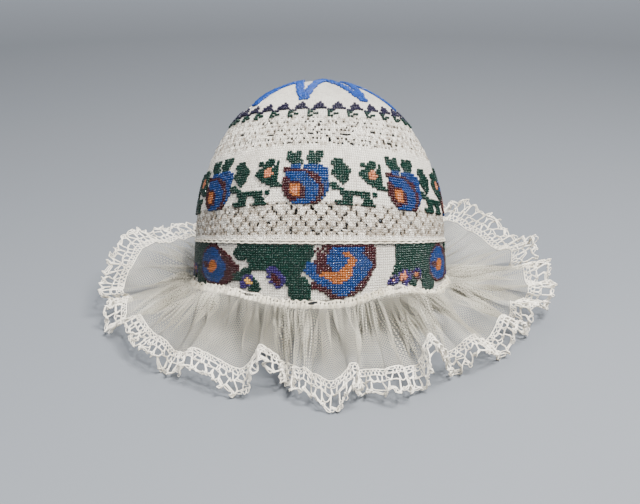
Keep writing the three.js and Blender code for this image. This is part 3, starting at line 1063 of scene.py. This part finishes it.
def frill_base(step, share):
    """The middle of the cloth: step along the fold table, share from heading (0) to lace edge (1)."""
    turn, edge, reach, lift = fold_values(step)
    depth = heading_depth(turn)
    radius = RIM_RADIUS + HEADING_START + HEADING_FLARE * depth
    root = ring_points(turn, radius, ROOT_UNDER_STRIP - depth)
    root = tip_back(root, LEAN)
    root_height = root[:, 2] + rim_centre[2]
    edge_height = lift * FRILL_WIDTH + CLOTH / 2
    drop = root_height - edge_height
    plan = np.sqrt(((reach * FRILL_WIDTH) ** 2 - drop**2).clip(0))
    tip = ring_points(edge, np.hypot(root[:, 0], root[:, 1]) + plan, edge_height)
    start = np.column_stack([root[:, 0], root[:, 1], root_height])
    hidden = (1 - HEADING_SHOWS) * depth
    up = ridden_up(turn)
    start += ring_points(turn, RIDE_OUT * up - HEADING_FLARE * hidden, up + hidden)
    outward = ring_points((turn + edge) / 2, BELLY_OUT * FRILL_WIDTH, np.zeros(len(turn)))
    middle = start + BELLY_ALONG * (tip - start) + outward
    middle[:, 2] = root_height + BELLY_UP * (edge_height - root_height)
    t = share[:, None]
    place = (1 - t) ** 2 * start + 2 * t * (1 - t) * middle + t**2 * tip
    return place + np.array([rim_centre[0], rim_centre[1], 0.0])


step_line = np.arange(fold_count * FOLD_STEPS) / FOLD_STEPS
share_line = np.linspace(0, 1, FRILL_STEPS + 1)
step_grid, share_grid = np.meshgrid(step_line, share_line, indexing="ij")
base = frill_base(step_grid.ravel(), share_grid.ravel()).reshape(*step_grid.shape, 3)
along_edge = np.roll(base, -1, axis=0) - np.roll(base, 1, axis=0)
along_edge /= np.linalg.norm(along_edge, axis=2)[:, :, None]
down = np.gradient(base, axis=1)
cloth_normal = np.cross(down, along_edge)
cloth_normal /= np.linalg.norm(cloth_normal, axis=2)[:, :, None]


def pleats(waves, seed, drift, height, overlap, strength):
    """Small pleats: the cloth swings out of its plane and folds over itself by overlap."""
    whole_turn = step_grid / fold_count * 360
    phase = uneven(whole_turn, waves, seed, drift) + 0.35 * np.sin(share_grid * 5 + whole_turn * 0.11)
    sizes = 0.65 + 0.35 * np.sin(uneven(whole_turn, waves // 3, seed + 1, 2.0))
    swing = height * strength * sizes * np.sin(phase)
    slide = overlap * strength * sizes * np.sin(2 * phase)
    return cloth_normal * swing[:, :, None] + along_edge * slide[:, :, None]


def across_width(middle, reach):
    """How strong a set of pleats is: 1 at middle, a share of the frill's width, and less beyond reach."""
    return np.exp(-(((share_grid - middle) / reach) ** 2))


sewn_root = 0.16 + 0.84 * (1 - across_width(0, 0.075))
near_root = (across_width(0.17, 0.20) + 0.5 * across_width(0, 0.12)) * sewn_root
middle_part = across_width(0.45, 0.22) * sewn_root
towards_edge = share_grid.clip(0, 1) ** 1.5
frill = base.copy()
frill += pleats(waves=74, seed=21, drift=2.6, height=0.0042, overlap=0.0019, strength=near_root)
frill += pleats(waves=59, seed=31, drift=2.4, height=0.0040, overlap=0.0022, strength=middle_part)
frill += pleats(waves=47, seed=41, drift=2.2, height=0.0022, overlap=0.0012, strength=towards_edge)
frill[:, :, 2] = np.maximum(frill[:, :, 2], NET_CLEAR)


def on_frill(step, share, out):
    """Points of the finished frill, between the points of its fine grid."""
    rows = (np.asarray(step) * FOLD_STEPS) % len(step_line)
    columns = np.clip(np.asarray(share), 0, 1) * FRILL_STEPS
    row = np.floor(rows).astype(int)
    column = np.minimum(np.floor(columns).astype(int), FRILL_STEPS - 1)
    u = (rows - row)[:, None]
    v = (columns - column)[:, None]
    after = (row + 1) % len(step_line)

    def mix(field):
        near = field[row, column] * (1 - v) + field[row, column + 1] * v
        far = field[after, column] * (1 - v) + field[after, column + 1] * v
        return near * (1 - u) + far * u

    return mix(frill) + mix(cloth_normal) * np.asarray(out)[..., None]


NET_THICKNESS = 0.00005
NET_FOLD_COLUMNS = 28
NET_COLUMNS = fold_count * NET_FOLD_COLUMNS
NET_ROWS = 28
MILLIMETRES = 1000
net_share = NET_WIDTH / FRILL_WIDTH


def net_place(turn, share):
    step = (turn + 180) / 360 * fold_count
    return on_frill(step, (1 - share) * net_share, np.zeros(len(turn)))


net_frill = grid_piece(
    "net_frill_cloth",
    NET_COLUMNS,
    NET_ROWS,
    net_place,
    round(NET_LENGTH * MILLIMETRES),
    NET_WIDTH * MILLIMETRES,
)
close_and_thicken(net_frill, NET_THICKNESS)


# mesh in millimetres, and how far from the middle of a mesh, as shares of it, its threads begin
NET_MESH = 1.02
UPRIGHT_THREAD = 0.435
ROUND_THREAD = 0.425
NET_LIGHT = (0.52, 0.495, 0.42)
NET_SHADE = (0.26, 0.243, 0.195)


def net_finish():
    """Fine cotton net: rounds of thread with staggered ties and clear air between."""
    finish = Finish("cotton_net")
    calc = finish.calc
    u, v = finish.uv()
    rounds = calc("MULTIPLY", v, 1 / NET_MESH)
    stagger = calc("MULTIPLY", calc("FLOOR", calc("MODULO", rounds, 2.0)), 0.5)
    uprights = calc("MULTIPLY_ADD", u, 1 / NET_MESH, stagger)
    threads = []
    for meshes, begins in ((uprights, UPRIGHT_THREAD), (rounds, ROUND_THREAD)):
        from_middle = calc("ABSOLUTE", calc("SUBTRACT", calc("FRACT", meshes), 0.5))
        threads.append(calc("GREATER_THAN", from_middle, begins))
    finish.shader(
        ("Base Color", finish.blend(finish.noise(45.0, 3.0), 0.35, NET_SHADE, 0.7, NET_LIGHT)),
        ("Alpha", calc("MAXIMUM", *threads)),
        ("Roughness", 0.9),
    )
    return finish.material


net_frill.data.materials.append(net_finish())
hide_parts("net_frill")
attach(net_frill, "root")

# Lace edging
# Handmade lace of knotted cotton thread is sewn along the net's outer edge. From the net outwards it has two
# rows of small meshes, a row of round ones and a row of tall ones, under a thick knobbly border in scallops.
SMALL_MESH = 0.0021
ROUND_MESH = 0.0031
TALL_MESH = 0.0043
# depths from the net's edge, in metres
SEWN_CORD = 0.0003
SMALL_MIDDLE = 0.0019
SMALL_CORD = 0.0037
ROUND_END = 0.0072
ROUND_CORD = 0.0073
BORDER_CORD = 0.0122
TALL_END = 0.0126
FRINGE_END = 0.0140
# how far the border's scallops stand out
SCALLOP = 0.0011
# the line on the frill, in steps from the heading, along which the meshes are counted
COUNTED_STEP = 52
edge_row = frill[:, COUNTED_STEP]
edge_steps = np.linalg.norm(np.diff(edge_row, axis=0, append=edge_row[:1]), axis=1)
edge_length = np.concatenate([[0], np.cumsum(edge_steps)])
small_count = round(edge_length[-1] / SMALL_MESH)
round_count = round(edge_length[-1] / ROUND_MESH)
tall_count = round(edge_length[-1] / TALL_MESH)

# a thread of this thickness has a radius of 1 in the curve
THREAD_UNIT = 0.0002
thread = bpy.data.curves.new("lace_thread", "CURVE")
thread.dimensions = "3D"
thread.bevel_depth = THREAD_UNIT / 2
thread.bevel_resolution = 0
thread.use_fill_caps = True


def pulled(along, seed):
    """Slow waves round the edge, from -1 to 1, where old wear has drawn the lace together or apart."""
    waves = np.random.default_rng(seed)
    return sum(np.sin(2 * np.pi * (along * waves.integers(40, 190) + waves.random())) for _ in range(5)) / 5


# how far the loose edge is lifted, drawn together, drawn in and pushed along
LACE_LIFT = 0.0034
LACE_SQUEEZE = 0.19
LACE_SHRUNK = 0.0007
LACE_SHIFT = 0.0020
# the least height of a thread's middle above the table
LACE_CLEAR = 0.0004


def lay_thread(along, depth, out, thick, closed=False):
    """A thread of the lace: along the edge from 0 to 1, depth from the net and out of it, in metres."""
    loose = depth / LACE_WIDTH
    out = out + LACE_LIFT * pulled(along, 51) * loose
    depth = depth * (1 + LACE_SQUEEZE * pulled(along + depth * 0.7, 52)) - LACE_SHRUNK * loose
    along = along + LACE_SHIFT / edge_length[-1] * pulled(along + depth * 0.9, 53) * (0.4 + loose)
    step = np.interp((along % 1) * edge_length[-1], edge_length, np.arange(len(edge_row) + 1) / FOLD_STEPS)
    places = on_frill(step, (net_share + depth / FRILL_WIDTH).clip(0, 1), out)
    places[:, 2] = np.maximum(places[:, 2], LACE_CLEAR)
    spline = thread.splines.new("POLY")
    spline.points.add(len(places) - 1)
    spline.points.foreach_set("co", np.column_stack([places, np.ones(len(places))]).ravel())
    spline.points.foreach_set("radius", np.full(len(places), thick / THREAD_UNIT))
    spline.use_cyclic_u = closed


def hang_arches(feet, depths, bottom, wander, points, power, thick):
    """Loops of thread, each hung from two neighbouring feet and squarer the less power is.

    Gives the places and depths of their lowest points, which the next row can hang from.
    """
    count = len(feet)
    t = np.linspace(0, 1, points)
    across = t - 0.11 * np.sin(2 * np.pi * t)
    drop = np.sin(np.pi * t) ** power
    lowest = bottom + rng.normal(0, wander, count)
    for index in range(count):
        width = (feet[(index + 1) % count] - feet[index]) % 1
        ends = depths[index] + (depths[(index + 1) % count] - depths[index]) * t
        bow = rng.normal(0, 0.00025) * np.sin(np.pi * t)
        along = feet[index] + width * across
        lay_thread(along, ends + (lowest[index] - ends) * drop, bow, thick * rng.uniform(0.85, 1.2))
    middles = feet + (np.roll(feet, -1) - feet) % 1 / 2
    return middles % 1, lowest


def even_feet(count, depth, wander):
    """Places along the edge and depths for the feet of a new row of loops."""
    places = (np.arange(count) + rng.normal(0, 0.13, count)) / count
    return places % 1, depth + rng.normal(0, wander, count)


def lay_cord(points, depth, wander, thick):
    """A thread that runs the whole way round."""
    places = np.arange(points) / points
    rough = rng.normal(0, wander, points)
    lay_thread(places, depth + rough, rng.normal(0, 0.00015, points), thick, closed=True)


lay_cord(small_count * 2, SEWN_CORD, wander=0.0001, thick=0.00062)
feet, depths = even_feet(small_count, SEWN_CORD, wander=0.0001)
feet, depths = hang_arches(feet, depths, SMALL_MIDDLE, wander=0.00025, points=5, power=0.6, thick=0.00045)
feet, depths = hang_arches(feet, depths, SMALL_CORD, wander=0.0003, points=5, power=0.6, thick=0.00045)
lay_cord(small_count, SMALL_CORD, wander=0.00025, thick=0.0005)
feet, depths = even_feet(round_count, SMALL_CORD, wander=0.0003)
feet, depths = hang_arches(feet, depths, ROUND_END, wander=0.0004, points=8, power=0.5, thick=0.00054)
lay_cord(round_count * 2, ROUND_CORD, wander=0.0003, thick=0.00055)
feet, depths = even_feet(tall_count, ROUND_CORD, wander=0.0004)
feet, depths = hang_arches(feet, depths, TALL_END, wander=0.0006, points=11, power=0.36, thick=0.00058)
border_points = tall_count * 9
places = np.arange(border_points) / border_points
scallop = SCALLOP * np.abs(np.sin(np.pi * (places - feet[0] + 0.5 / tall_count) * tall_count))
border = BORDER_CORD + scallop + rng.normal(0, 0.00025, border_points)
lay_thread(places, border, rng.normal(0, 0.00022, border_points), thick=0.00066, closed=True)
feet = places[::3]
depths = border[::3] - 0.0001
hang_arches(feet, depths, FRINGE_END, wander=0.0004, points=6, power=0.55, thick=0.00042)

lace = bpy.data.objects.new("lace_edging_threads", thread)
bpy.context.collection.objects.link(lace)
bpy.ops.object.select_all(action="DESELECT")
lace.select_set(True)
bpy.context.view_layer.objects.active = lace
bpy.ops.object.convert(target="MESH")
lace = bpy.context.object
bpy.ops.object.shade_smooth()
lace_cotton = cotton_finish("lace_cotton", (0.76, 0.715, 0.625), (0.43, 0.39, 0.31), 2400.0, 0.0002)
lace.data.materials.clear()
lace.data.materials.append(lace_cotton)
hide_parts("lace_edging")
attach(lace, "root")
